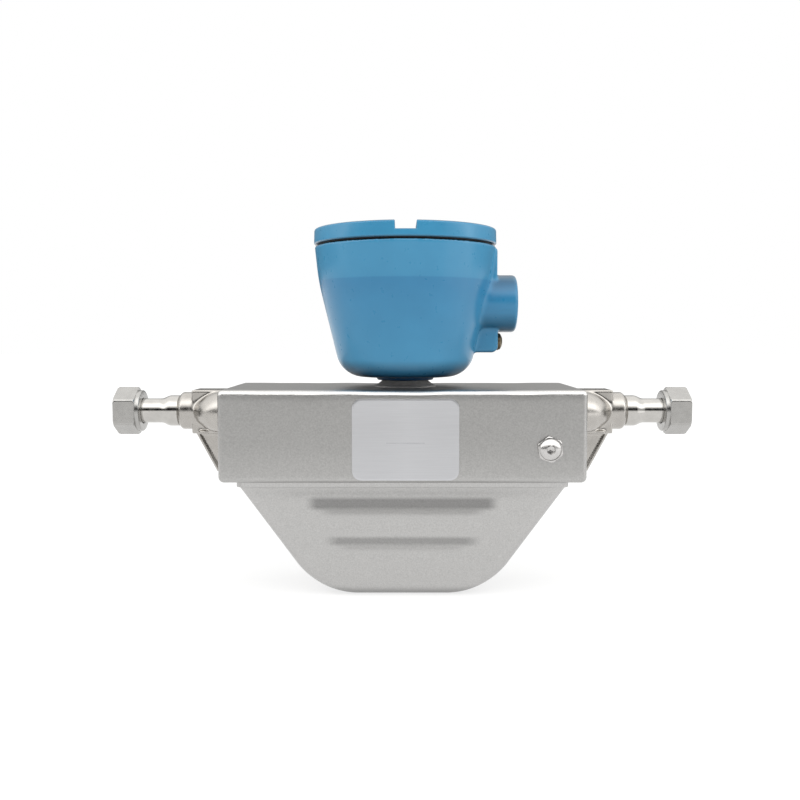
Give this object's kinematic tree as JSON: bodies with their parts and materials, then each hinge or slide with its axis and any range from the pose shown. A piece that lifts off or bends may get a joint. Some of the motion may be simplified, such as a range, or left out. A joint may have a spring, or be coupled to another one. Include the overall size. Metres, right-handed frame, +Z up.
{
  "type": "coriolis flow meter",
  "caption": "Inline mass flow meter: welded steel sensor case with a deep pan, union-nut fittings at both ends and a round cast electronics head with a screw cover on a short neck.",
  "frame": {"origin": "centre of the flat underside of the pan, the lowest face of the meter, midway between the two union nuts", "axes": "+X along the flow from inlet to outlet, +Z up through the head, +Y to the back, away from the name plate"},
  "size_m": [0.3232, 0.102, 0.2006],
  "materials": {
    "case_steel": "satin, bead blasted",
    "fitting_steel": "turned, polished",
    "cast_steel": "cast and polished",
    "tube_steel": "drawn",
    "neck_steel": "dark satin",
    "plate_metal": "satin",
    "head_paint": "semi-gloss enamel",
    "seal_rubber": "matt",
    "screw_metal": "tarnished",
    "inner_screw": "plated",
    "copper": "enamelled wire",
    "magnet_metal": "nickel plated",
    "bobbin_plastic": "moulded",
    "dark_plastic": "potted",
    "block_plastic": "moulded",
    "lead_sleeve": "sleeved",
    "glass_header": "glass seal"
  },
  "bodies": {
    "meter": {"case_box": "case_steel", "case_pan": "case_steel", "name_plate": "plate_metal", "vent_boss": "cast_steel", "vent_plug": "fitting_steel", "inlet_manifold": "cast_steel", "outlet_manifold": "cast_steel", "inlet_gland": "fitting_steel", "outlet_gland": "fitting_steel", "inlet_face_seal": "seal_rubber", "outlet_face_seal": "seal_rubber", "front_flow_tube": "tube_steel", "rear_flow_tube": "tube_steel", "inlet_upper_brace": "tube_steel", "inlet_lower_brace": "tube_steel", "outlet_upper_brace": "tube_steel", "outlet_lower_brace": "tube_steel", "drive_coil": "bobbin_plastic", "inlet_pickoff_coil": "bobbin_plastic", "outlet_pickoff_coil": "bobbin_plastic", "coil_windings": "copper", "drive_magnet": "magnet_metal", "inlet_pickoff_magnet": "magnet_metal", "outlet_pickoff_magnet": "magnet_metal", "coil_saddles": "tube_steel", "magnet_saddles": "tube_steel", "temperature_sensor": "bobbin_plastic", "coil_leads": "lead_sleeve", "lead_connector": "dark_plastic", "neck_post": "neck_steel", "neck_seal": "seal_rubber", "neck_lock_nut": "inner_screw", "feedthrough": "glass_header", "head_housing": "head_paint", "electronics_module": "dark_plastic", "module_screws": "inner_screw", "terminal_block": "block_plastic", "terminal_screws": "inner_screw", "inner_ground_screw": "inner_screw", "ground_screw": "screw_metal", "ground_washer": "screw_metal"},
    "inlet_nut": {"inlet_nut": "fitting_steel"},
    "outlet_nut": {"outlet_nut": "fitting_steel"},
    "cover_seal": {"cover_seal": "seal_rubber"},
    "head_cover": {"head_cover": "head_paint"}
  },
  "joints": [
    {"name": "inlet_nut_turn", "type": "hinge", "parent": "meter", "child": "inlet_nut", "pos_m": [-0.155, 0, 0.0992], "axis": [1, 0, 0], "continuous": true},
    {"name": "outlet_nut_turn", "type": "hinge", "parent": "meter", "child": "outlet_nut", "pos_m": [0.155, 0, 0.0992], "axis": [1, 0, 0], "continuous": true},
    {"name": "cover_rise", "type": "slide", "parent": "meter", "child": "cover_seal", "axis": [0, 0, 1], "range_m": [0, 0.008]},
    {"name": "cover_turn", "type": "hinge", "parent": "cover_seal", "child": "head_cover", "pos_m": [0.0016, 0, 0.195], "axis": [0, 0, 1], "range_deg": [0, 1440]}
  ],
  "couplings": [
    {"joint": "cover_rise", "follows": "cover_turn", "m_per_rad": 0.0003183}
  ]
}
